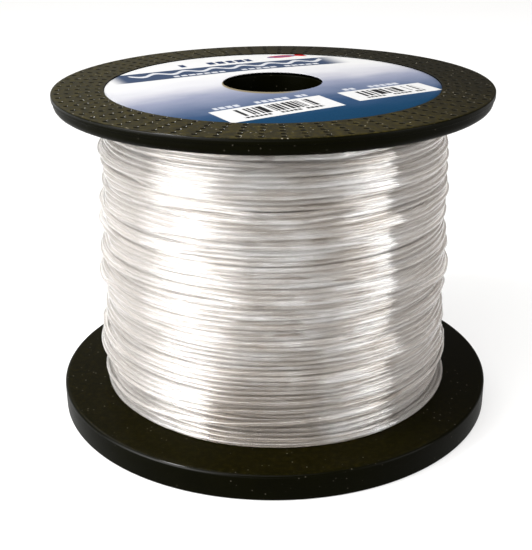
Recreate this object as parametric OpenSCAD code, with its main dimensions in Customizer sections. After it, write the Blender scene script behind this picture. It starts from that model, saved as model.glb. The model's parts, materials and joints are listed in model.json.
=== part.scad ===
// Bulk spool of clear fishing line: two moulded flanges on a drum and an axle
// tube, wound with line. Millimetres, +Z along the bore, base on z = 0, and the
// side that is seen first faces -Y.

/* [Flanges] */
// Overall height of the spool
spool_h = 68; // [50:1:90]
// Diameter of the upper flange
top_flange_d = 88; // [73:1:110]
// Diameter of the lower flange, which the spool stands on
base_flange_d = 92.4; // [77:0.1:116]
// Thickness of each flange's plate
plate_t = 2.4; // [1.6:0.1:3.6]
// Height of the upper flange's rim
top_rim_h = 3.3; // [2.8:0.1:6]
// Height of the lower flange's rim
base_rim_h = 5.6; // [4:0.1:8]
// Width of the rims, measured along the radius
rim_w = 2.2; // [1.6:0.1:3]
// How far the upper rim steps in below its lip
lip_step = 0.3; // [0.1:0.1:0.5]
// Height of the lip on the upper rim
lip_h = 1.1; // [0.8:0.1:1.4]
// Radius at the bottom of the upper rim
top_rim_round = 1.5; // [0.5:0.1:1.6]
// Radius at the top and the bottom of the lower rim
base_rim_round = 0.6; // [0.3:0.1:1]

/* [Texture] */
// Rings of dimples on the upper flange
dimple_rings = 5; // [0:1:5]
// Dimples in each ring
dimple_rows = 72; // [36:1:80]
// Distance from one ring to the next
dimple_pitch = 1.96; // [1.5:0.02:2]
// From the upper flange's edge to the outermost ring
dimple_edge = 1.3; // [1.2:0.1:1.6]
// Diameter of a dimple at the surface
dimple_d = 1.24; // [0.6:0.02:1.4]
// Depth of a dimple
dimple_depth = 0.34; // [0.1:0.02:0.4]
// Turn of the first row of dimples about the axis, as a share of the space between rows
dimple_turn = 0.4; // [0:0.1:1]

/* [Core] */
// Outer diameter of the drum that the line is wound on
drum_d = 52; // [42:1:63]
// Wall of the drum
drum_wall = 2; // [1.2:0.1:3]
// Bore for a spindle
bore_d = 20; // [16:0.5:24]
// Wall of the axle tube
tube_wall = 2; // [1.2:0.1:3]
// Height of the rings that locate the drum on the flanges
spigot_h = 3; // [2:0.5:5]
// Wall of the locating rings and of the hubs
ring_wall = 1.6; // [1:0.1:2.4]
// Radial clearance between pieces that are pushed together
fit_gap = 0.05; // [0.02:0.01:0.15]
// Ribs under the lower flange
base_ribs = 12; // [4:1:24]
// Thickness of those ribs
rib_t = 1.4; // [0.8:0.1:2]
// How far the ribs stay clear of the table
rib_lift = 0.6; // [0.4:0.1:1]

/* [Line] */
// Diameter of the line
line_d = 1; // [0.4:0.05:1.2]
// From the upper flange's edge to the line below it
line_margin = 8.9; // [5:0.1:9]
// How much further the line reaches at the lower flange
line_taper = 1.4; // [0:0.1:2]
// Height of the anchor hole above the lower flange
anchor_h = 6; // [5:0.5:12]
// Clearance of the line in its anchor hole, on the radius
anchor_gap = 0.2; // [0.1:0.05:0.4]
// Height of the loose end above the lower flange
tail_h = 8.4; // [7:0.1:20]
// Angle that the loose end takes up round the winding
tail_angle = 70; // [30:1:120]

/* [Label and tape] */
// Width of the bare plastic between the flange's edge and the label recess
label_margin = 10.25; // [10:0.05:14]
// Depth of the recess for the label
recess_depth = 0.35; // [0.2:0.05:0.5]
// Thickness of the label
label_t = 0.12; // [0.08:0.01:0.2]
// Gap between the label and the wall of its recess
label_gap = 0.18; // [0.05:0.01:0.4]
// How much wider than the bore the hole in the label is, on the radius
label_hole_gap = 0.3; // [0.25:0.05:1]
// How far the hole in the label sits from the bore's axis
label_hole_shift = 0.2; // [0:0.05:0.2]
// Thickness of the tape that holds the loose end
tape_t = 0.12; // [0.05:0.01:0.2]
// Width of the tape, along the bore
tape_w = 12; // [9:0.5:14]
// Angle that the tape takes up round the winding
tape_angle = 26; // [15:1:40]

/* [Hidden] */
$fn = 96;
small_fn = 24;

plastic = "#1c1b12";
nylon = "#d8d6d2";

cut = 1;
skin = 0.02;
back = 90;

top_r = top_flange_d / 2;
base_r = base_flange_d / 2;
plate_top_z = spool_h - plate_t;
recess_z = spool_h - recess_depth;
recess_r = top_r - label_margin;
label_r = recess_r - label_gap;
dimple_sphere = (pow(dimple_d / 2, 2) + pow(dimple_depth, 2)) / (2 * dimple_depth);

bore_r = bore_d / 2;
tube_r = bore_r + tube_wall;
hub_hole_r = tube_r + fit_gap;
drum_r = drum_d / 2;
drum_in_r = drum_r - drum_wall;
spigot_r = drum_in_r - fit_gap;

// Radius of the wound line at a height
line_top_r = top_r - line_margin;
function wound_r(z) = line_top_r + line_taper * (plate_top_z - z) / (plate_top_z - base_rim_h);

anchor_z = base_rim_h + anchor_h;
tail_z = base_rim_h + tail_h;
tail_r = wound_r(tail_z) + line_d / 2 + skin;

// A ring of rectangular section
module ring(r_in, r_out, z_low, z_high)
    rotate_extrude() translate([r_in, z_low]) square([r_out - r_in, z_high - z_low]);

// A rectangle from [x0, y0] to [x1, y1] whose outer corners are rounded at the
// bottom, at the top, or at both
module rim_outline(x0, x1, y0, y1, round_low, round_high) {
    deepest = max(round_low, round_high);
    translate([x0, y0]) square([x1 - x0 - deepest, y1 - y0]);
    translate([x0, y0 + round_low]) square([x1 - x0, y1 - y0 - round_low - round_high]);
    if (round_low > 0)
        corner_fill(x1, y0, round_low, deepest, 1);
    if (round_high > 0)
        corner_fill(x1, y1, round_high, deepest, -1);
}

// The rounded corner itself, with the strip that leads to it
module corner_fill(x, y, r, deepest, side) {
    translate([x - r, y + side * r]) circle(r = r);
    translate([x - deepest - skin, min(y, y + side * r)]) square([deepest - r + skin, r]);
}

module upper_flange() color(plastic) difference() {
    union() {
        rotate_extrude() {
            translate([hub_hole_r, plate_top_z]) square([top_r - rim_w - hub_hole_r, plate_t]);
            rim_outline(top_r - rim_w - lip_step, top_r - lip_step,
                        spool_h - top_rim_h, spool_h - lip_h, top_rim_round, 0);
            rim_outline(top_r - rim_w - lip_step, top_r, spool_h - lip_h, spool_h, 0, lip_step);
        }
        ring(hub_hole_r, hub_hole_r + ring_wall, plate_top_z - spigot_h, plate_top_z);
        ring(spigot_r - ring_wall, spigot_r, plate_top_z - spigot_h, plate_top_z);
    }
    label_recess();
    dimples();
}

module label_recess()
    translate([0, 0, recess_z]) cylinder(r = recess_r, h = recess_depth + cut);

module dimples()
    for (ring = [0 : 1 : dimple_rings - 1], row = [0 : dimple_rows - 1])
        rotate([0, 0, (row + dimple_turn) * 360 / dimple_rows])
            translate([top_r - dimple_edge - ring * dimple_pitch, 0,
                       spool_h + dimple_sphere - dimple_depth])
                sphere(r = dimple_sphere, $fn = small_fn);

module lower_flange() color(plastic) union() {
    plate_z = base_rim_h - plate_t;
    rotate_extrude() {
        translate([hub_hole_r, plate_z]) square([base_r - rim_w - hub_hole_r, plate_t]);
        rim_outline(base_r - rim_w, base_r, 0, base_rim_h, base_rim_round, base_rim_round);
    }
    ring(hub_hole_r, hub_hole_r + ring_wall, 0, base_rim_h + spigot_h);
    ring(spigot_r - ring_wall, spigot_r, rib_lift, base_rim_h + spigot_h);
    difference() {
        for (rib = [0 : base_ribs - 1])
            rotate([0, 0, (rib + 0.5) * 360 / base_ribs])
                translate([0, -rib_t / 2, rib_lift]) cube([base_r - rim_w / 2, rib_t, plate_z]);
        translate([0, 0, -cut]) cylinder(r = hub_hole_r, h = base_rim_h + 2 * cut);
    }
}

module core_drum() color(plastic) difference() {
    ring(drum_in_r, drum_r, base_rim_h, plate_top_z);
    rotate([0, 0, back]) translate([drum_in_r - cut, 0, anchor_z]) rotate([0, 90, 0])
        cylinder(r = line_d / 2 + anchor_gap, h = drum_wall + 2 * cut, $fn = small_fn);
}

module axle_tube() color(plastic) ring(bore_r, tube_r, 0, recess_z);

// The line's inner end: out through the drum's anchor hole, held inside by a knot
module line_start() color(nylon) rotate([0, 0, back]) {
    knot_r = 0.8 * line_d;
    knot_x = drum_in_r - line_d / 2 - 2 * skin;
    translate([knot_x, 0, anchor_z]) {
        rotate([0, 90, 0]) knot_loop(knot_r);
        translate([-knot_r, 0, 0]) knot_loop(knot_r);
        rotate([0, 90, 0])
            cylinder(d = line_d, h = drum_r - knot_x - skin, $fn = small_fn);
    }
}

module knot_loop(r)
    rotate_extrude($fn = small_fn) translate([r, 0]) circle(d = line_d, $fn = small_fn);

// All the turns of the line, as the solid that they fill
module line_winding() color(nylon) rotate_extrude()
    polygon([[drum_r, base_rim_h], [wound_r(base_rim_h) - line_d / 2, base_rim_h],
             [wound_r(base_rim_h + line_d / 2), base_rim_h + line_d / 2],
             [wound_r(plate_top_z - line_d / 2), plate_top_z - line_d / 2],
             [line_top_r - line_d / 2, plate_top_z], [drum_r, plate_top_z]]);

// The loose end, lying on the winding
module line_tail() color(nylon) rotate([0, 0, back + tape_angle / 4 - tail_angle])
    rotate_extrude(angle = tail_angle) translate([tail_r, tail_z])
        circle(d = line_d, $fn = small_fn);

// The tape follows the winding and passes over the loose end
module tail_tape() color("#e9e6df") rotate([0, 0, back - tape_angle / 2])
    rotate_extrude(angle = tape_angle) difference() {
        tape_outline(skin + tape_t, tape_w / 2);
        tape_outline(skin, tape_w / 2 + cut);
    }

// What the tape's face encloses, at a given distance from the line
module tape_outline(off, half) {
    tent = 1.5 * line_d;
    polygon([[drum_r, tail_z - half], [wound_r(tail_z - half) + off, tail_z - half],
             [wound_r(tail_z - tent) + off, tail_z - tent],
             [tail_r + line_d / 2 + off, tail_z - line_d / 3],
             [tail_r + line_d / 2 + off, tail_z + line_d / 3],
             [wound_r(tail_z + tent) + off, tail_z + tent],
             [wound_r(tail_z + half) + off, tail_z + half], [drum_r, tail_z + half]]);
}

module top_label() color("#3d5a92") difference() {
    translate([0, 0, recess_z]) cylinder(r = label_r, h = label_t);
    rotate([0, 0, -135]) translate([label_hole_shift, 0, recess_z - cut])
        cylinder(r = bore_r + label_hole_gap, h = label_t + 2 * cut);
}

lower_flange();
upper_flange();
core_drum();
axle_tube();
line_start();
line_winding();
line_tail();
tail_tape();
top_label();
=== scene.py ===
"""A bulk spool of clear fishing line: two black flanges, a printed label and wound line.

Lengths are in millimetres and become metres only where a mesh, light or camera is made.
"""
import json
import math

import bmesh
import bpy
import numpy as np
from mathutils import Matrix, Vector


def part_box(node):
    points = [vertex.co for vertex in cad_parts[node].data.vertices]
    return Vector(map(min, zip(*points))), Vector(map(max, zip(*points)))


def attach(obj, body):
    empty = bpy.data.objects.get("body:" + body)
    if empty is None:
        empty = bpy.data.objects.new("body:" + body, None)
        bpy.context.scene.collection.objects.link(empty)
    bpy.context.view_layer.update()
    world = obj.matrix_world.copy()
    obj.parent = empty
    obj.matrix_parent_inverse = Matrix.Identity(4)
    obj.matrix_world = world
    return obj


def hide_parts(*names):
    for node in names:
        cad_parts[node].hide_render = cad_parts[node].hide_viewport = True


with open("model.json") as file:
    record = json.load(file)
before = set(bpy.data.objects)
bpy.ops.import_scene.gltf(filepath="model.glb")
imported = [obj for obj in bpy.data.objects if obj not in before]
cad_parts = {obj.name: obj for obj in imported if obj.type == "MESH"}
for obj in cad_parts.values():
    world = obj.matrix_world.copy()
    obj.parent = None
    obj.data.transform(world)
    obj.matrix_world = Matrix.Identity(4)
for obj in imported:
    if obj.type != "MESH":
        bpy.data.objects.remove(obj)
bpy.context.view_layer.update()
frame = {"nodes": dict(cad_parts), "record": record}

MM = 0.001
TAU = 2 * math.pi


# ---------------------------------------------------------------- sizes

def node_box(node):
    """A node's lowest and highest corners, in millimetres, rounded to a hundredth."""
    low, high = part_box(node)
    return np.round(np.array(low) / MM, 2), np.round(np.array(high) / MM, 2)


TOP_R = node_box("upper_flange")[1][0]
BASE_R = node_box("lower_flange")[1][0]
HEIGHT = node_box("upper_flange")[1][2]
BASE_TOP, PLATE_LOW = (corner[2] for corner in node_box("core_drum"))
DRUM_R = node_box("core_drum")[1][0]
TUBE_R = node_box("axle_tube")[1][0]
RECESS_Z = node_box("axle_tube")[1][2]
BORE_R = next(m["dims"]["r_mm"] for m in frame["record"]["mounts"] if m["name"] == "bore")
LABEL_R = node_box("top_label")[1][0]
LABEL_TOP = node_box("top_label")[1][2]
WOUND_BASE_R = node_box("line_winding")[1][0]
TAIL_Z = (node_box("line_tail")[0][2] + node_box("line_tail")[1][2]) / 2

PLATE = 2.4
RIM_W = 2.2
TOP_RIM_H = 3.3
LIP_H = 1.1
LIP_STEP = 0.3
TOP_RIM_ROUND = 1.5
BASE_RIM_ROUND = 0.6
SPIGOT_H = 3.0
RING_WALL = 1.6
FIT_GAP = 0.05
DRUM_WALL = 2.0
RIBS = 12
RIB_T = 1.4
RIB_LIFT = 0.6

DIMPLE_RINGS = 5
DIMPLE_ROWS = 72
DIMPLE_PITCH = 1.96
DIMPLE_EDGE = 1.3
DIMPLE_R = 0.62
DIMPLE_DEPTH = 0.34
DIMPLE_TURN = 0.4 * TAU / DIMPLE_ROWS
LABEL_GAP = 0.18
LABEL_HOLE_R = BORE_R + 0.02
LABEL_LIFT = 0.5

LINE_D = 1.0
LINE_TAPER = 1.4
LINE_GAP = 0.02
WOUND_TOP_R = WOUND_BASE_R - LINE_TAPER
TAPE_T = 0.12
TAPE_W = 12.0
TAPE_GAP = 0.03
TAPE_ANGLE = math.radians(26)
BACK = math.pi / 2


# ---------------------------------------------------------------- camera

def make_camera():
    """A fixed lens in front of the spool and above it, looking down on the upper flange."""
    data = bpy.data.cameras.new("camera")
    data.sensor_width = 36
    data.lens = 65.52
    camera = bpy.data.objects.new("camera", data)
    pitch = Matrix.Rotation(math.radians(67.6), 4, "X")
    roll = Matrix.Rotation(math.radians(-0.52), 4, "Z")
    camera.matrix_world = Matrix.Translation(Vector((-1.7, -200.9, 109.0)) * MM) @ pitch @ roll
    bpy.context.scene.collection.objects.link(camera)
    bpy.context.scene.camera = camera


make_camera()


# ---------------------------------------------------------------- shader expressions

class Wire:
    """A shader value in a Python expression; each operator adds a Math node."""

    def __init__(self, nodes, socket):
        self.nodes = nodes
        self.socket = socket

    def maths(self, operation, *values):
        return self.nodes.node("ShaderNodeMath", {"operation": operation}, values)

    def __add__(self, other):
        return self.maths("ADD", self, other)

    def __sub__(self, other):
        return self.maths("SUBTRACT", self, other)

    def __rsub__(self, other):
        return self.maths("SUBTRACT", other, self)

    def __mul__(self, other):
        return self.maths("MULTIPLY", self, other)

    def __truediv__(self, other):
        return self.maths("DIVIDE", self, other)

    def __abs__(self):
        return self.maths("ABSOLUTE", self)

    __radd__ = __add__
    __rmul__ = __mul__

    def floor(self):
        return self.maths("FLOOR", self)

    def fraction(self):
        return self.maths("FRACT", self)

    def sine(self):
        return self.maths("SINE", self)

    def larger(self, other):
        return self.maths("MAXIMUM", self, other)

    def limited(self):
        """Never below 0 or above 1."""
        return self.nodes.node("ShaderNodeClamp", {}, {"Value": self})

    def ease(self, low, high):
        """0 below low and 1 above high, with a smooth step between."""
        settings = {"interpolation_type": "SMOOTHSTEP"}
        return self.nodes.node("ShaderNodeMapRange", settings,
                               {"Value": self, "From Min": low, "From Max": high})


class Nodes:
    """The nodes of a material, a lamp or the world, all added by one method."""

    def __init__(self, owner):
        owner.use_nodes = True
        self.tree = owner.node_tree

    def node(self, kind, settings=None, inputs=(), output=0):
        """A new node with its settings and inputs, as a wire from one of its outputs."""
        made = self.tree.nodes.new(kind)
        for key, value in (settings or {}).items():
            if key == "stops":
                self.set_stops(made.color_ramp, value)
            else:
                setattr(made, key, value)
        pairs = inputs.items() if isinstance(inputs, dict) else enumerate(inputs)
        for key, value in pairs:
            self.feed(made.inputs[key], value)
        return Wire(self, made.outputs[output])

    def set_stops(self, ramp, stops):
        while len(ramp.elements) < len(stops):
            ramp.elements.new(0.5)
        for element, (place, colour) in zip(ramp.elements, stops):
            element.position = place
            element.color = (*colour, 1)

    def feed(self, socket, value):
        """Links a wire to a socket, or sets the socket to a fixed value."""
        if isinstance(value, Wire):
            self.tree.links.new(value.socket, socket)
        else:
            socket.default_value = value

    def parts(self, vector):
        """The x, y and z of a vector."""
        split = self.node("ShaderNodeSeparateXYZ", {}, (vector,))
        return [Wire(self, socket) for socket in split.socket.node.outputs]

    def blend(self, factor, first, second):
        """Mixes two colours."""
        return self.node("ShaderNodeMix", {"data_type": "RGBA"},
                         {0: factor, 6: first, 7: second}, output=2)


class Finish(Nodes):
    """A material with one Principled shader."""

    def __init__(self, name, **fixed):
        self.material = bpy.data.materials.new(name)
        super().__init__(self.material)
        self.shader = self.tree.nodes["Principled BSDF"]
        for socket, value in fixed.items():
            self.shader.inputs[socket.replace("_", " ")].default_value = value

    def drive(self, socket, value):
        """Feeds one socket of the Principled shader."""
        self.feed(self.shader.inputs[socket], value)

    def object_place(self):
        """Object coordinates in millimetres, as a vector."""
        place = self.node("ShaderNodeTexCoord", output="Object")
        return self.node("ShaderNodeVectorMath", {"operation": "SCALE"},
                         {0: place, "Scale": 1 / MM})

    def stretched(self, vector, factors):
        """A vector whose x, y and z are each multiplied by a factor of their own."""
        return self.node("ShaderNodeVectorMath", {"operation": "MULTIPLY"}, (vector, factors))

    def noise(self, vector, scale, detail=2.0, roughness=0.5):
        """Soft noise about 0.5; scale is in features per millimetre."""
        return self.node("ShaderNodeTexNoise", {},
                         {"Vector": vector, "Scale": scale, "Detail": detail,
                          "Roughness": roughness})

    def specks(self, vector, scale, size):
        """1 inside round specks of a radius given as a share of their spacing."""
        cell = self.node("ShaderNodeTexVoronoi", {}, {"Vector": vector, "Scale": scale})
        return 1 - cell.ease(size * 0.6, size)

    def bump(self, height, distance):
        """Feeds the shader's normal with a height in millimetres times distance."""
        self.drive("Normal", self.node("ShaderNodeBump", {},
                                       {"Height": height, "Distance": distance * MM,
                                        "Strength": 1.0}))


def rgb(red, green, blue):
    """A colour given as three display values from 0 to 255."""
    def linear(value):
        value /= 255
        return value / 12.92 if value <= 0.04045 else ((value + 0.055) / 1.055) ** 2.4
    return (linear(red), linear(green), linear(blue), 1.0)


# ---------------------------------------------------------------- finishes

def black_plastic(name, dust, dusty_z, edge_r):
    """Satin black moulding: fine grain and cloudy sheen. Its top face within an edge radius
    carries a tan dust film that is also painted sheen; it is painted heavier towards the left
    front and fades to the right and the back as painted side light, and it stops at the pits,
    which stay black as painted shade. The edge round it and the pits are shinier."""
    finish = Finish(name, IOR=1.5, Specular_IOR_Level=0.015, Coat_Roughness=0.05, Coat_IOR=1.5)
    place = finish.object_place()
    x, y, level = finish.parts(place)
    within = 1 - (x * x + y * y).ease((edge_r - 0.9) ** 2, (edge_r - 0.5) ** 2)
    upper = level.ease(dusty_z - 0.6, dusty_z - 0.4) * within
    lying = level.ease(dusty_z - 0.12, dusty_z - 0.03)
    cloud = finish.noise(place, 0.12, 4.0, 0.6)
    grain = finish.noise(place, 4.5, 3.0, 0.7)
    scuff = finish.noise(place, 0.9, 5.0, 0.7)
    dots = finish.specks(place, 0.75, 0.13) * cloud.ease(0.42, 0.6)
    # painted side light: the dust film and its sheen fade towards the right and the back
    dust_with_painted_side_light = dust * (1 - (x * 0.85 + y * 0.5).ease(-8, 38) * 0.82)
    # the film lies only on the flat top, leaving the pits black as painted shade
    dust_and_painted_sheen_film = (0.25 + scuff.ease(0.4, 0.8)) * lying * dust_with_painted_side_light
    black = finish.blend(cloud, rgb(2, 2, 0), rgb(5, 5, 0))
    # the tan film is dust and painted sheen on the top face in one
    dust_and_sheen_tone = finish.blend(dust_and_painted_sheen_film * 0.165, black, rgb(128, 114, 50))
    speck = dots * (0.07 + lying * dust * 0.5)
    finish.drive("Base Color", finish.blend(speck, dust_and_sheen_tone, rgb(176, 168, 150)))
    finish.drive("Roughness", 0.3 + cloud * 0.1 + grain * 0.08 + dust_and_painted_sheen_film * 0.2)
    pit = (upper - lying).limited()
    wall = level.ease(dusty_z - 0.1, dusty_z - 0.05) * (1 - level.ease(dusty_z - 0.012, dusty_z))
    coat = pit * 0.1 + upper * wall * 0.5 + upper * lying * dust_with_painted_side_light * 0.11 * (0.6 + cloud * 0.8)
    edge = (1 - within) * level.ease(dusty_z - 0.7, dusty_z - 0.4) * (1 - x.ease(-20, 10) * 0.85)
    finish.drive("Coat Weight", coat + edge * 0.17)
    finish.bump(grain + dots * 0.6, 0.015)
    return finish.material


def away_from_painted_shade_middle(x):
    """0 along the middle of the winding's front and back, and 1 towards both sides; the painted
    shade low on the winding is kept to that middle.
    """
    return ((x + 2) * (x + 2)).ease(50, 240)


def clear_nylon():
    """Clear monofilament: glossy and partly see-through. Its colour holds painted highlight
    streaks and painted shade hairlines between strands, which fade out towards the left and the
    far right of its front and back. Painted shade makes it greyer low down at its middle,
    standing in for the black lower flange seen through it."""
    finish = Finish("clear_line", IOR=1.53, Transmission_Weight=0.86, Specular_IOR_Level=0.7)
    place = finish.object_place()
    x, _, level = finish.parts(place)
    haze = finish.noise(place, 0.16, 3.0, 0.6)
    # painted highlight streaks and painted shade hairlines between strands, in the line's colour
    painted_highlight_streak = finish.noise(finish.stretched(place, (0.1, 0.1, 1.0)), 0.8, 2.0, 0.5)
    painted_shade_hairline = finish.noise(finish.stretched(place, (0.06, 0.06, 1.0)), 1.7, 2.0, 0.5)
    painted_streak_tone = finish.blend(painted_highlight_streak.ease(0.36, 0.64), rgb(224, 218, 211), rgb(255, 254, 253))
    painted_streak_tone = finish.blend(painted_shade_hairline.ease(0.3, 0.4), rgb(182, 173, 164), painted_streak_tone)
    smooth = finish.blend(haze, rgb(232, 227, 221), rgb(251, 248, 246))
    # the painted streaks fade out at the left and the far right of the winding
    painted_streak_side = x.ease(-17, -1) * (1 - x.ease(22, 28))
    pale = finish.blend(painted_streak_side * 0.85 + 0.12, smooth, painted_streak_tone)
    # painted shade: greyer low down in the middle, standing in for the black lower flange seen
    # through the line
    above = (level - BASE_TOP) / 26.0 + (haze - 0.5) * 0.9 + away_from_painted_shade_middle(x)
    finish.drive("Base Color", finish.blend(above.ease(0, 1), rgb(200, 192, 183), pale))
    finish.drive("Roughness", 0.04 + haze * 0.05)
    return finish.material


def packed_nylon():
    """The turns under the visible ones, which look like pale ridged plastic. Painted shade darkens
    them under the upper flange all round and near the lower flange mostly at the middle.
    """
    finish = Finish("packed_nylon", IOR=1.53, Specular_IOR_Level=0.5)
    place = finish.object_place()
    cloud = finish.noise(finish.stretched(place, (0.15, 0.15, 1.0)), 0.6, 4.0, 0.6)
    x, _, level = finish.parts(place)
    # painted shade: 0 close to the flanges, where the turns are darkened, and 1 between them
    clear_of_painted_flange_shade = level.ease(BASE_TOP + 1, BASE_TOP + 14).larger(away_from_painted_shade_middle(x) * 0.7)
    clear_of_painted_flange_shade = clear_of_painted_flange_shade * (1 - level.ease(PLATE_LOW - 5, PLATE_LOW))
    pale = finish.blend(cloud, rgb(168, 160, 152), rgb(228, 223, 218))
    finish.drive("Base Color", finish.blend(clear_of_painted_flange_shade, rgb(88, 80, 72), pale))
    finish.drive("Roughness", 0.25 + cloud * 0.15)
    finish.bump(cloud, 0.1)
    return finish.material


def tape_film():
    """Thin frosted tape with fine creases."""
    finish = Finish("tape_film", IOR=1.48, Specular_IOR_Level=0.5)
    place = finish.object_place()
    crease = finish.noise(finish.stretched(place, (0.4, 0.4, 1.6)), 0.8, 5.0, 0.65)
    finish.drive("Base Color", finish.blend(crease, rgb(226, 222, 208), rgb(244, 242, 236)))
    finish.drive("Roughness", 0.2 + crease * 0.2)
    finish.drive("Alpha", 0.28 + crease * 0.3)
    finish.bump(crease, 0.08)
    return finish.material


def turned(x, y, centre, degrees):
    """Coordinates along and across a direction, measured from a centre."""
    c, s = math.cos(math.radians(degrees)), math.sin(math.radians(degrees))
    dx, dy = x - centre[0], y - centre[1]
    return dx * c + dy * s, dy * c - dx * s


def inside(value, half, soft=0.12):
    """1 where value is within half of nought, with a soft edge."""
    return ((half - abs(value)) / soft + 0.5).limited()


def dashes(finish, along, across, length, height, period):
    """A row of short blocks of uneven width, which stands in for a line of print."""
    step = along / period
    uneven = finish.node("ShaderNodeTexWhiteNoise", {"noise_dimensions": "1D"},
                         {"W": step.floor()})
    block = inside(step.fraction() - 0.5, 0.33 + uneven * 0.1, 0.1)
    return block * inside(along, length / 2) * inside(across, height / 2) * uneven.ease(0.08, 0.12)


def code_panel(finish, x, y, centre, degrees, width, height):
    """A white panel with upright bars: (panel, ink) masks."""
    along, across = turned(x, y, centre, degrees)
    panel = inside(along, width / 2) * inside(across, height / 2)
    module = 0.26
    random = finish.node("ShaderNodeTexWhiteNoise", {"noise_dimensions": "1D"},
                         {"W": (along / module).floor() + centre[0]})
    bars = random.ease(0.42, 0.5) * inside(along, width * 0.36)
    bars = bars * inside(across - height * 0.1, height * 0.27)
    figures = dashes(finish, along, across + height * 0.29, width * 0.7, height * 0.11, 0.9)
    return panel, bars.larger(figures)


FADE_TILT = 27
BAND_TILT = 24
CODE_TILT = 31
INK_STRENGTH = 0.44


def label_print():
    """Satin paper: white fading to deep blue, a navy band, waves, a fish and two code panels,
    with a worn brown edge on one side of the hole."""
    finish = Finish("label_print", IOR=1.45, Specular_IOR_Level=0.01)
    place = finish.object_place()
    x, y, _ = finish.parts(place)
    along, across = turned(x, y, (0, 0), FADE_TILT)
    streaks = finish.noise(finish.node("ShaderNodeCombineXYZ", {},
                                       (along * 0.45, across, 0.0)), 0.16, 3.0, 0.5)
    fade = ((across + (streaks - 0.5) * 9.0 + 34.0) / 46.0).limited()
    stops = [(0.0, rgb(16, 64, 98)), (0.16, rgb(24, 70, 106)), (0.32, rgb(62, 90, 128)),
             (0.48, rgb(126, 138, 167)), (0.62, rgb(164, 170, 194)), (0.74, rgb(216, 217, 228)),
             (0.86, rgb(243, 243, 248)), (1.0, rgb(255, 255, 255))]
    ink = finish.node("ShaderNodeValToRGB", {"stops": [(p, c[:3]) for p, c in stops]}, (fade,))

    band_x, band_y = turned(x, y, (0, 0), BAND_TILT)
    band = inside(band_y - 17.6, 4.4, 0.3) * band_x.ease(-29.5, -25.5)
    band = band * (1 - band_x.ease(19.5, 26.0))
    wave = inside(band_y - 18.9 - (band_x * 0.95).sine() * 1.2, 0.8, 0.25)
    wave = wave * inside(band_x + 1.5, 22.5, 0.5)
    fine_row = dashes(finish, band_x - 1.0, band_y - 14.9, 34.0, 1.3, 1.7)
    ink = finish.blend(band * 0.95, ink, rgb(28, 60, 100))
    ink = finish.blend(wave.larger(fine_row) * band, ink, rgb(238, 240, 246))

    title = dashes(finish, band_x + 2.2, band_y - 25.6, 17.0, 3.0, 2.3)
    ink = finish.blend(title, ink, rgb(30, 54, 96))
    fish_x, fish_y = turned(x, y, (2.2, 30.4), BAND_TILT)
    body = 1 - (fish_x * fish_x / 13.0 + fish_y * fish_y / 2.4).ease(0.85, 1.0)
    tail = inside(fish_x - 4.2, 1.4, 0.2) * inside(fish_y, (fish_x - 2.6) * 0.75, 0.2)
    ink = finish.blend(body.larger(tail), ink, rgb(214, 30, 34))
    ink = finish.blend(body * inside(fish_y, 0.45, 0.2), ink, rgb(70, 120, 170))

    for centre, width, height, row in (((0.7, -22.6), 23.8, 8.8, 20.0),
                                       ((22.6, -8.7), 19.8, 7.5, 15.0)):
        panel, bars = code_panel(finish, x, y, centre, CODE_TILT, width, height)
        p, q = turned(x, y, centre, CODE_TILT)
        caption = dashes(finish, p, q - height / 2 - 1.5, row, 1.5, 1.5)
        ink = finish.blend(caption, ink, rgb(226, 230, 240))
        ink = finish.blend(panel, ink, rgb(252, 252, 252))
        ink = finish.blend(bars * panel, ink, rgb(44, 44, 46))

    worn = 1 - ((x + 0.15) * (x + 0.15) + (y + 1.2) * (y + 1.2)).ease(98, 103)
    ink = finish.blend(worn * (1 - x.ease(1, 7)), ink, rgb(158, 146, 118))

    fibre = finish.noise(place, 2.2, 3.0, 0.6)
    finish.drive("Base Color", finish.blend(INK_STRENGTH, (0, 0, 0, 1), ink))
    finish.drive("Roughness", 0.42 + fibre * 0.16)
    finish.bump(fibre, 0.012)
    return finish.material


# ---------------------------------------------------------------- mesh tools

def make_piece(name, points, faces, material, replaces=(), sharp=35, weld=True):
    """A piece of the object from points in millimetres and lists of equal-sided faces."""
    mesh = bpy.data.meshes.new(name)
    sizes = np.concatenate([np.full(len(f), f.shape[1]) for f in faces])
    corners = np.concatenate([f.ravel() for f in faces])
    mesh.vertices.add(len(points))
    mesh.vertices.foreach_set("co", (np.asarray(points, dtype=float) * MM).ravel())
    mesh.loops.add(len(corners))
    mesh.loops.foreach_set("vertex_index", corners)
    mesh.polygons.add(len(sizes))
    mesh.polygons.foreach_set("loop_start", np.concatenate([[0], np.cumsum(sizes)[:-1]]))
    mesh.update(calc_edges=True)
    mesh.validate()
    if weld:
        solid = bmesh.new()
        solid.from_mesh(mesh)
        bmesh.ops.remove_doubles(solid, verts=solid.verts, dist=1e-6)
        solid.to_mesh(mesh)
        solid.free()
    mesh.polygons.foreach_set("use_smooth", np.ones(len(mesh.polygons), dtype=bool))
    mesh.set_sharp_from_angle(angle=math.radians(sharp))
    mesh.materials.append(material)
    piece = bpy.data.objects.new(name, mesh)
    bpy.context.scene.collection.objects.link(piece)
    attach(piece, "root")
    if replaces:
        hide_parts(*replaces)


def grid_faces(rows, columns, close_rows=False, close_columns=False):
    """Quads between neighbours on a grid of points that is numbered row by row."""
    row = np.arange(rows if close_rows else rows - 1)[:, None]
    column = np.arange(columns if close_columns else columns - 1)[None, :]
    after, beside = (row + 1) % rows, (column + 1) % columns
    quads = (row * columns + column, row * columns + beside,
             after * columns + beside, after * columns + column)
    return np.stack(quads, -1).reshape(-1, 4)


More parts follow.
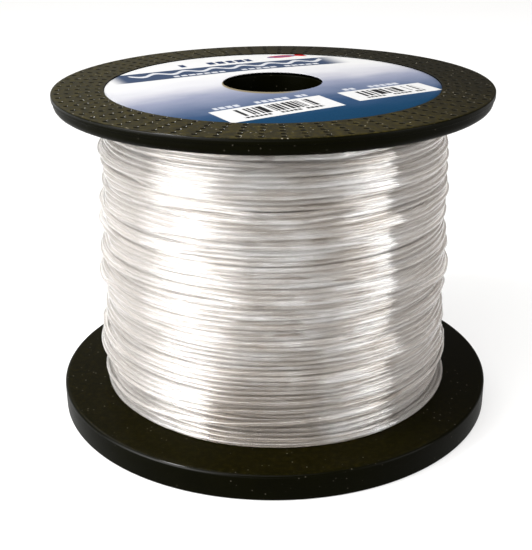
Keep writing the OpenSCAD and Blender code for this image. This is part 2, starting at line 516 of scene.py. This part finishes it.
def rounded(corners):
    """An outline from corners (r, z, radius): a corner with a radius becomes an arc."""
    outline = []
    count = len(corners)
    for index, (r, z, radius) in enumerate(corners):
        here = np.array([r, z])
        if radius == 0:
            outline.append(here)
            continue
        back = np.array(corners[index - 1][:2]) - here
        ahead = np.array(corners[(index + 1) % count][:2]) - here
        back, ahead = back / np.linalg.norm(back), ahead / np.linalg.norm(ahead)
        half = math.acos(np.clip(back @ ahead, -1, 1)) / 2
        middle = (back + ahead) / np.linalg.norm(back + ahead)
        centre = here + middle * radius / math.sin(half)
        start = here + back * radius / math.tan(half) - centre
        end = here + ahead * radius / math.tan(half) - centre
        for step in np.linspace(0, 1, 7):
            turn = start * (1 - step) + end * step
            outline.append(centre + turn / np.linalg.norm(turn) * radius)
    return np.array(outline)


def revolve(outline, angles):
    """Every outline point (r, z) turned to every angle, row by row along the outline."""
    r, z = outline[:, :1], outline[:, 1:]
    level = np.broadcast_to(z, (len(outline), len(angles)))
    return np.stack([r * np.cos(angles), r * np.sin(angles), level], -1).reshape(-1, 3)


def even_angles(count):
    """Evenly spaced angles round a full turn."""
    return np.arange(count) * TAU / count


# ---------------------------------------------------------------- flanges and tube

def cell_edge_steps(directions):
    """How far along a dimple cell's side its edge points lie, from -1 up to but not at 1."""
    quarter = directions // 4
    return np.tan((np.arange(quarter) / quarter - 0.5) * math.pi / 2)


def dimple_band(directions):
    """Square cells of a polar grid, each with a round pit that is part of a sphere.

    Around each cell's middle, the outermost loop of points follows the cell's sides, and
    the loops inside it are circles of the sphere, down to one point at the pit's bottom.
    """
    sphere = (DIMPLE_R ** 2 + DIMPLE_DEPTH ** 2) / (2 * DIMPLE_DEPTH)
    loops = 4
    ring_r = TOP_R - DIMPLE_EDGE - np.arange(DIMPLE_RINGS) * DIMPLE_PITCH
    row_angle = even_angles(DIMPLE_ROWS) + DIMPLE_TURN
    middle_r, middle_a = (m.reshape(-1, 1) for m in np.meshgrid(ring_r, row_angle, indexing="ij"))
    turn = np.arange(directions) * TAU / directions
    side = 1 / np.maximum(abs(np.cos(turn)), abs(np.sin(turn)))
    edge_r = middle_r + np.cos(turn) * side * DIMPLE_PITCH / 2
    edge_a = middle_a + np.sin(turn) * side * math.pi / DIMPLE_ROWS
    level = np.full_like(edge_r, HEIGHT)
    rings = [np.stack([edge_r * np.cos(edge_a), edge_r * np.sin(edge_a), level], -1)]
    for share in np.linspace(1, 0, loops + 1):
        lean = math.asin(DIMPLE_R / sphere) * share
        out = sphere * math.sin(lean) * np.cos(turn)
        beside = sphere * math.sin(lean) * np.sin(turn)
        x = (middle_r + out) * np.cos(middle_a) - beside * np.sin(middle_a)
        y = (middle_r + out) * np.sin(middle_a) + beside * np.cos(middle_a)
        depth = HEIGHT + sphere - DIMPLE_DEPTH - sphere * math.cos(lean)
        rings.append(np.stack([x, y, np.full_like(x, depth)], -1))
    points = np.stack(rings, 1)
    cells, levels = points.shape[:2]
    one = grid_faces(levels, directions, close_columns=True)[:, ::-1]
    faces = (one[None] + np.arange(cells)[:, None, None] * levels * directions).reshape(-1, 4)
    return points.reshape(-1, 3), faces


def make_upper_flange(material):
    """The turned outline of the flange, closed at the top by the band of dimples."""
    directions = 16
    rim_r = TOP_R - LIP_STEP
    hub_r, spigot_r = TUBE_R + FIT_GAP, DRUM_R - DRUM_WALL - FIT_GAP
    low = PLATE_LOW - SPIGOT_H
    band_out = TOP_R - DIMPLE_EDGE + DIMPLE_PITCH / 2
    band_in = band_out - DIMPLE_RINGS * DIMPLE_PITCH
    recess_r = LABEL_R + LABEL_GAP
    outline = rounded([
        (band_in, HEIGHT, 0), (recess_r, HEIGHT, 0.04), (recess_r, RECESS_Z, 0.05),
        (hub_r, RECESS_Z, 0), (hub_r, low, 0.2), (hub_r + RING_WALL, low, 0.2),
        (hub_r + RING_WALL, PLATE_LOW, 0.3), (spigot_r - RING_WALL, PLATE_LOW, 0.3),
        (spigot_r - RING_WALL, low, 0.2), (spigot_r, low, 0.2), (spigot_r, PLATE_LOW, 0),
        (rim_r - RIM_W, PLATE_LOW, 0.2), (rim_r - RIM_W, HEIGHT - TOP_RIM_H, 0.3),
        (rim_r, HEIGHT - TOP_RIM_H, TOP_RIM_ROUND), (rim_r, HEIGHT - LIP_H, 0.05),
        (TOP_R, HEIGHT - LIP_H, 0.08), (TOP_R, HEIGHT, 0.28), (band_out, HEIGHT, 0)])
    steps = cell_edge_steps(directions) * math.pi / DIMPLE_ROWS
    angles = (even_angles(DIMPLE_ROWS)[:, None] + DIMPLE_TURN + steps).ravel()
    turned_points = revolve(outline, angles)
    turned_faces = grid_faces(len(outline), len(angles), close_columns=True)
    band_points, band_faces = dimple_band(directions)
    points = np.concatenate([turned_points, band_points])
    faces = np.concatenate([turned_faces, band_faces + len(turned_points)])
    make_piece("upper_flange_moulding", points, [faces], material,
               ("upper_flange",))


def block(low, high):
    """The eight corners and six faces of a box whose faces point outwards."""
    points = np.array([[x, y, z] for x in (low[0], high[0]) for y in (low[1], high[1])
                       for z in (low[2], high[2])])
    faces = np.array([[0, 1, 3, 2], [4, 6, 7, 5], [0, 4, 5, 1], [2, 3, 7, 6], [0, 2, 6, 4],
                      [1, 5, 7, 3]])
    return points, faces


def make_lower_flange(material):
    """The turned outline of the flange, with straight ribs in the hollow under it."""
    hub_r, spigot_r = TUBE_R + FIT_GAP, DRUM_R - DRUM_WALL - FIT_GAP
    plate_z, high = BASE_TOP - PLATE, BASE_TOP + SPIGOT_H
    outline = rounded([
        (hub_r, 0, 0.15), (hub_r + RING_WALL, 0, 0.25), (hub_r + RING_WALL, plate_z, 0.3),
        (spigot_r - RING_WALL, plate_z, 0.3), (spigot_r - RING_WALL, RIB_LIFT, 0.2),
        (spigot_r, RIB_LIFT, 0.2), (spigot_r, plate_z, 0.3), (BASE_R - RIM_W, plate_z, 0.4),
        (BASE_R - RIM_W, 0, 0.3), (BASE_R, 0, BASE_RIM_ROUND),
        (BASE_R, BASE_TOP, BASE_RIM_ROUND), (spigot_r, BASE_TOP, 0), (spigot_r, high, 0.2),
        (spigot_r - RING_WALL, high, 0.2), (spigot_r - RING_WALL, BASE_TOP, 0.3),
        (hub_r + RING_WALL, BASE_TOP, 0.3), (hub_r + RING_WALL, high, 0.2), (hub_r, high, 0.2)])
    angles = even_angles(288)
    points = [revolve(outline, angles)]
    faces = [grid_faces(len(outline), len(angles), close_rows=True, close_columns=True)]
    bar, bar_faces = block((hub_r + RING_WALL / 2, -RIB_T / 2, RIB_LIFT),
                           (BASE_R - RIM_W / 2, RIB_T / 2, plate_z + 0.2))
    for rib in range(RIBS):
        turn = (rib + 0.5) * TAU / RIBS
        spin = np.array([[math.cos(turn), -math.sin(turn), 0],
                         [math.sin(turn), math.cos(turn), 0], [0, 0, 1]])
        faces.append(bar_faces + sum(map(len, points)))
        points.append(bar @ spin.T)
    make_piece("lower_flange_moulding", np.concatenate(points), [np.concatenate(faces)],
               material, ("lower_flange",))


def make_axle_tube(material):
    """A plain tube with eased ends."""
    outline = rounded([(BORE_R, 0, 0.3), (TUBE_R, 0, 0.15), (TUBE_R, RECESS_Z, 0.1),
                       (BORE_R, RECESS_Z, 0.25)])
    angles = even_angles(192)
    make_piece("axle_tube_liner", revolve(outline, angles),
               [grid_faces(len(outline), len(angles), True, True)], material,
               ("axle_tube",))


def make_label(material):
    """A thin ring whose height rises towards its hole by the lift times
    (1 - share of the way out) ^ 1.2."""
    angles = even_angles(256)
    circle = np.stack([np.cos(angles), np.sin(angles)], -1)
    hole, rim = circle * LABEL_HOLE_R, circle * LABEL_R
    low = RECESS_Z + 0.005
    profile = [(0, low), (0, LABEL_TOP - 0.02), (0.0012, LABEL_TOP)]
    profile += [(share, LABEL_TOP) for share in np.linspace(0.05, 0.95, 19)]
    profile += [(0.9988, LABEL_TOP), (1, LABEL_TOP - 0.02), (1, low)]
    profile += [(share, low) for share in np.linspace(0.95, 0.05, 19)]
    rows = [np.concatenate([hole * (1 - s) + rim * s,
                            np.full((len(angles), 1), z + LABEL_LIFT * (1 - s) ** 1.2)], 1)
            for s, z in profile]
    faces = grid_faces(len(rows), len(angles), True, True)[:, ::-1]
    make_piece("round_label", np.concatenate(rows), [faces], material,
               ("top_label",))


# ---------------------------------------------------------------- wound line

SEED = 11
SAMPLES = 144
PASSES = 4
PITCH = 1.03
SIDES = 8
DEPTH = 4.25
STRAYS = ((0.05, 0.12), (0.08, 0.45))  # how far, and over what share of a turn
LAST_STRAY = 1.6
NEARBY = 3.5
LONGEST_SLIP = 1.3
SLIDE_STEPS = 12
TIGHTENING_STEPS = 60
TAIL_ANGLE = BACK + TAPE_ANGLE / 4
LOW_Z = BASE_TOP + LINE_D / 2 + LINE_GAP
HIGH_Z = PLATE_LOW - LINE_D / 2 - LINE_GAP


def wound_r(z):
    """Outer radius of the winding at a height: a straight taper."""
    return WOUND_TOP_R + LINE_TAPER * (PLATE_LOW - z) / (PLATE_LOW - BASE_TOP)


def smooth_noise(rng, count, spacing):
    """Random values every so many samples, joined by smooth steps."""
    knots = rng.normal(size=int(count / spacing) + 3)
    place = np.arange(count) / spacing
    left = place.astype(int)
    share = place - left
    share = share * share * (3 - 2 * share)
    return knots[left] * (1 - share) + knots[left + 1] * share


def aimed_heights(rng):
    """Heights that the winder aims at, one row for each turn.

    Each pass climbs or falls evenly between the flanges, and the line strays from that by
    a short and a long smooth noise. The last row climbs to the taped end's height within
    four fifths of a turn.
    """
    turns = int(round((HIGH_Z - LOW_Z) / PITCH))
    count = turns * PASSES * SAMPLES
    climb = np.arange(count) / SAMPLES / turns % 2
    even = LOW_Z + (HIGH_Z - LOW_Z) * np.where(climb < 1, climb, 2 - climb)
    stray = sum(far * smooth_noise(rng, count, SAMPLES * share) for far, share in STRAYS)
    stray *= np.where(np.arange(count) < count * (PASSES - 1) / PASSES, 1, LAST_STRAY)
    z = LOW_Z + abs(even + stray - LOW_Z)
    z = HIGH_Z - abs(HIGH_Z - z)
    share = np.minimum(np.linspace(0, 1.25, SAMPLES), 1)
    last = z[-1] + (TAIL_Z - z[-1]) * share * share * (3 - 2 * share)
    return np.concatenate([z, last]).reshape(-1, SAMPLES), turns


def resting_r(z, laid_z, laid_r):
    """Radius at which a line of diameter d rests: on one laid before at a height difference
    h it is sqrt(d^2 - h^2) further out than that one."""
    floor = wound_r(z) - DEPTH
    if not len(laid_z):
        return floor
    apart = LINE_D ** 2 - (z - laid_z) ** 2
    over = np.where(apart > 0, laid_r + np.sqrt(np.maximum(apart, 0)), 0)
    return np.maximum(floor, over.max(0))


def slide_down(aim, shift, laid_z, laid_r):
    """How far each sample of a turn slips along the spool, into the valleys between turns
    laid before; the slip is spread along the line, which is stiff."""
    reach, stiffness = 18, 7.0
    spread = np.exp(-0.5 * (np.arange(-reach, reach + 1) / stiffness) ** 2)
    spread /= spread.sum()
    freed_after, probe, push, steepest = 20, 0.15, 0.35, 0.6
    hold = np.clip(np.arange(SAMPLES) / freed_after, 0, 1)
    slip = np.full(SAMPLES, shift)
    for _ in range(SLIDE_STEPS):
        z = np.clip(aim + slip, LOW_Z, HIGH_Z)
        slope = (resting_r(z + probe, laid_z, laid_r)
                 - resting_r(z - probe, laid_z, laid_r)) / (2 * probe)
        slip = slip - push * np.clip(slope, -steepest, steepest)
        padded = np.concatenate([np.full(reach, shift), slip, np.full(reach, slip[-1])])
        slip = np.clip(np.convolve(padded, spread, "valid"), -LONGEST_SLIP, LONGEST_SLIP)
        slip = shift * (1 - hold) + slip * hold
    return slip


def wind(rng):
    """Heights and radii of the line, one row for each turn.

    A turn slides into place and is then drawn tight: with u = 1/r, a straight stretch keeps
    u[i-1] + u[i+1] = 2 cos(step) u[i], so u is lowered towards that until it is still.
    """
    z, turns = aimed_heights(rng)
    r = np.zeros_like(z)
    bend = 2 * math.cos(TAU / SAMPLES)
    shift = 0.0
    for turn in range(len(z)):
        near = abs(z[:turn] - z[turn]).min(1) < NEARBY if turn else []
        laid_z, laid_r = z[:turn][near], r[:turn][near]
        slip = slide_down(z[turn], shift, laid_z, laid_r)
        shift = slip[-1] * 0.98
        z[turn] = np.clip(z[turn] + slip, LOW_Z, HIGH_Z)
        u = limit = 1 / resting_r(z[turn], laid_z, laid_r)
        before = 1 / r[turn - 1, -1] if turn else u[0]
        for _ in range(TIGHTENING_STEPS):
            padded = np.concatenate([[before], u, [u[-1]]])
            u = np.minimum(limit, (padded[:-2] + padded[2:]) / bend)
        r[turn] = 1 / u
    return z, r, turns


def tube(r, z):
    """A piece of line along a path given by radius and height, closed by its end rings.

    Its ring at each sample lies in the plane through the spool's axis.
    """
    angle = TAIL_ANGLE + np.arange(len(r)) * TAU / SAMPLES
    around = even_angles(SIDES)
    out = r[:, None] + LINE_D / 2 * np.cos(around)
    level = z[:, None] + LINE_D / 2 * np.sin(around)
    points = np.stack([out * np.cos(angle)[:, None], out * np.sin(angle)[:, None], level], -1)
    faces = grid_faces(len(r), SIDES, close_columns=True)[:, ::-1]
    caps = np.array([np.arange(SIDES), np.arange(SIDES)[::-1] + (len(r) - 1) * SIDES])
    return points.reshape(-1, 3), [faces, caps]


def make_line(material):
    """The visible turns as real line, one piece for each pass and one for the last turn."""
    z, r, turns = wind(np.random.default_rng(SEED))
    for number in range(PASSES + 1):
        first = number * turns * SAMPLES
        last = min(first + turns * SAMPLES + 1, z.size)
        points, faces = tube(r.ravel()[first:last], z.ravel()[first:last])
        name = f"line_pass_{number + 1}" if number < PASSES else "line_last_turn"
        stands_for = {0: ("line_winding",), PASSES: ("line_tail",)}.get(number, ())
        make_piece(name, points, faces, material, stands_for, sharp=80,
                   weld=False)
    return z.ravel(), r.ravel()


def make_inner_turns(material):
    """The turns under the visible ones, as one turned solid whose outside is a row of half
    sine waves, one for each turn."""
    ridges, per_ridge, ridge_h, gap = int((PLATE_LOW - BASE_TOP) / LINE_D), 6, 0.4 * LINE_D, 0.03
    low, high, inner_r = BASE_TOP + gap, PLATE_LOW - gap, DRUM_R + LINE_GAP
    steps = np.arange(ridges * per_ridge + 1)
    level = np.linspace(low, high, len(steps))
    bulge = abs(np.sin(steps / per_ridge * math.pi)) * ridge_h
    outer = np.stack([wound_r(level) - DEPTH - 2 * ridge_h + bulge, level], -1)
    outline = np.concatenate([[[inner_r, low]], outer, [[inner_r, high]]])
    angles = even_angles(96)
    make_piece("line_inner_turns", revolve(outline, angles),
               [grid_faces(len(outline), len(angles), True, True)], material,
               sharp=50)


SMOOTHINGS = 25
TEAR = 0.12
TAPE_R = 36


def make_tape(material, line_z, line_r):
    """A patch of tape drawn over the line: its radius at each angle and height is that of
    the outermost line there, then smoothed from turn to turn but never let into the line.

    Its two torn ends follow a product of two sine waves.
    """
    columns, rows = 29, 61
    angles = np.linspace(BACK - TAPE_ANGLE / 2, BACK + TAPE_ANGLE / 2, columns)
    levels = np.linspace(TAIL_Z - TAPE_W / 2, TAIL_Z + TAPE_W / 2, rows)
    place = (angles - TAIL_ANGLE) / TAU * SAMPLES
    under = np.zeros((rows, columns))
    for column, sample in enumerate(place):
        index, share = int(math.floor(sample)), sample % 1
        before = np.arange(len(line_z) // SAMPLES) * SAMPLES + index
        before = before[(before >= 0) & (before + 1 < len(line_z))]
        z = line_z[before] * (1 - share) + line_z[before + 1] * share
        r = line_r[before] * (1 - share) + line_r[before + 1] * share
        cover = (LINE_D / 2) ** 2 - (levels[:, None] - z) ** 2
        under[:, column] = np.where(cover > 0, r + np.sqrt(np.maximum(cover, 0)), 0).max(1)
    under += TAPE_GAP
    skin = under.copy()
    for _ in range(SMOOTHINGS):
        wide = np.pad(skin, 1, mode="edge")
        mean = (wide[:-2, 1:-1] + wide[2:, 1:-1] + wide[1:-1, :-2] + wide[1:-1, 2:]) / 4
        skin = np.maximum(under, mean)
    torn = TEAR / TAPE_R * np.sin(levels * 9.0) * np.sin(levels * 23.0 + 1)
    turn = np.broadcast_to(angles, (rows, columns)).copy()
    turn[:, 0] += torn
    turn[:, -1] += torn[::-1]
    sheets = [np.stack([(skin + t) * np.cos(turn), (skin + t) * np.sin(turn),
                        np.broadcast_to(levels[:, None], skin.shape)], -1).reshape(-1, 3)
              for t in (TAPE_T, 0)]
    front = grid_faces(rows, columns)
    size = rows * columns
    edge = np.concatenate([np.arange(columns), np.arange(1, rows) * columns + columns - 1,
                           (rows - 1) * columns + np.arange(columns - 1)[::-1],
                           np.arange(1, rows - 1)[::-1] * columns])
    ahead = np.roll(edge, -1)
    wall = np.stack([edge, edge + size, ahead + size, ahead], -1)
    faces = np.concatenate([front, front[:, ::-1] + size, wall])
    make_piece("clear_tape", np.concatenate(sheets), [faces], material,
               ("tail_tape",), sharp=50, weld=False)


# ---------------------------------------------------------------- stage

def make_floor():
    """A pale, slightly uneven matt floor."""
    finish = Finish("pale_floor", Roughness=0.9, Specular_IOR_Level=0.1, Emission_Strength=0.5)
    place = finish.object_place()
    cloud = finish.noise(place, 0.004, 2.0)
    finish.drive("Base Color", finish.blend(cloud, (0.41, 0.41, 0.41, 1), (0.43, 0.43, 0.43, 1)))
    finish.shader.inputs["Emission Color"].default_value = (1, 1, 1, 1)
    half, low = 6.0, -0.02 * MM
    corners = [(x * half, y * half, low) for x, y in ((-1, -1), (1, -1), (1, 1), (-1, 1))]
    mesh = bpy.data.meshes.new("floor")
    mesh.from_pydata(corners, [], [(0, 1, 2, 3)])
    mesh.materials.append(finish.material)
    floor = bpy.data.objects.new("floor", mesh)
    bpy.context.scene.collection.objects.link(floor)


def soft_box(name, azimuth, elevation, distance, width, height, power, fades=(0.01, 0.01)):
    """A rectangular lamp that faces the spool; azimuth is measured from the camera's side.

    Its brightness rises from nought over a share of its width at its left and right ends.
    """
    data = bpy.data.lights.new(name, "AREA")
    data.shape = "RECTANGLE"
    data.size, data.size_y = width, height
    data.energy = power
    glow = Nodes(data)
    along, _, _ = glow.parts(glow.node("ShaderNodeNewGeometry", output="Parametric"))
    glow.feed(glow.tree.nodes["Emission"].inputs["Strength"],
              along.ease(0, fades[0]) * along.ease(1, 1 - fades[1]))
    lamp = bpy.data.objects.new(name, data)
    a, e = math.radians(azimuth), math.radians(elevation)
    away = Vector((math.sin(a) * math.cos(e), -math.cos(a) * math.cos(e), math.sin(e)))
    lamp.location = away * distance + Vector((0, 0, HEIGHT / 2 * MM))
    lamp.rotation_euler = away.to_track_quat("Z", "Y").to_euler()
    bpy.context.scene.collection.objects.link(lamp)


def make_world():
    """A room that is dim in front of the spool, pale behind it and darker on its right.

    Behind the floor it shows plain pale grey.
    """
    world = bpy.data.worlds.new("studio")
    room = Nodes(world)
    x, y, _ = room.parts(room.node("ShaderNodeTexCoord", output="Generated"))
    walls = room.blend(x.ease(-0.25, 0.25), (0.54, 0.545, 0.53, 1), (0.34, 0.31, 0.28, 1))
    walls = room.blend(y.ease(0.25, -0.35), walls, (0.33, 0.31, 0.285, 1))
    seen = room.node("ShaderNodeLightPath", output="Is Camera Ray")
    room.feed(room.tree.nodes["Background"].inputs["Color"],
              room.blend(seen, walls, (0.9, 0.9, 0.9, 1)))
    bpy.context.scene.world = world


def make_lights():
    """A broad light from above, soft boxes on both sides, a key and a strip in front."""
    data = bpy.data.lights.new("overhead", "SUN")
    data.energy = 1.4
    data.angle = math.radians(90)
    sky = bpy.data.objects.new("overhead", data)
    sky.rotation_euler = (math.radians(-8), math.radians(-6), 0)
    bpy.context.scene.collection.objects.link(sky)
    soft_box("left_box", azimuth=-56, elevation=12, distance=0.55, width=0.95, height=0.5,
             power=21.0, fades=(0.6, 0.6))
    soft_box("key_box", azimuth=-70, elevation=52, distance=0.7, width=0.11, height=0.11,
             power=4.0)
    soft_box("right_box", azimuth=55, elevation=10, distance=0.6, width=0.56, height=0.45,
             power=6.2, fades=(0.8, 0.02))
    soft_box("front_box", azimuth=-6, elevation=50, distance=0.8, width=1.0, height=0.14,
             power=3.0, fades=(0.3, 0.3))
    bpy.context.scene.view_settings.view_transform = "Standard"


# ---------------------------------------------------------------- assembly

plastic_top = black_plastic("plastic_upper", dust=0.9, dusty_z=HEIGHT, edge_r=TOP_R)
plastic_base = black_plastic("plastic_lower", dust=0.18, dusty_z=BASE_TOP, edge_r=BASE_R)
plastic_bore = black_plastic("plastic_bore", dust=0.2, dusty_z=HEIGHT + 2, edge_r=TOP_R)
make_lower_flange(plastic_base)
make_upper_flange(plastic_top)
make_axle_tube(plastic_bore)
make_label(label_print())
nylon = clear_nylon()
line_z, line_r = make_line(nylon)
make_inner_turns(packed_nylon())
make_tape(tape_film(), line_z, line_r)

for name, material in (("core_drum", plastic_bore), ("line_start", nylon)):
    for place in frame["nodes"][name].material_slots:
        place.material = material

make_floor()
make_world()
make_lights()
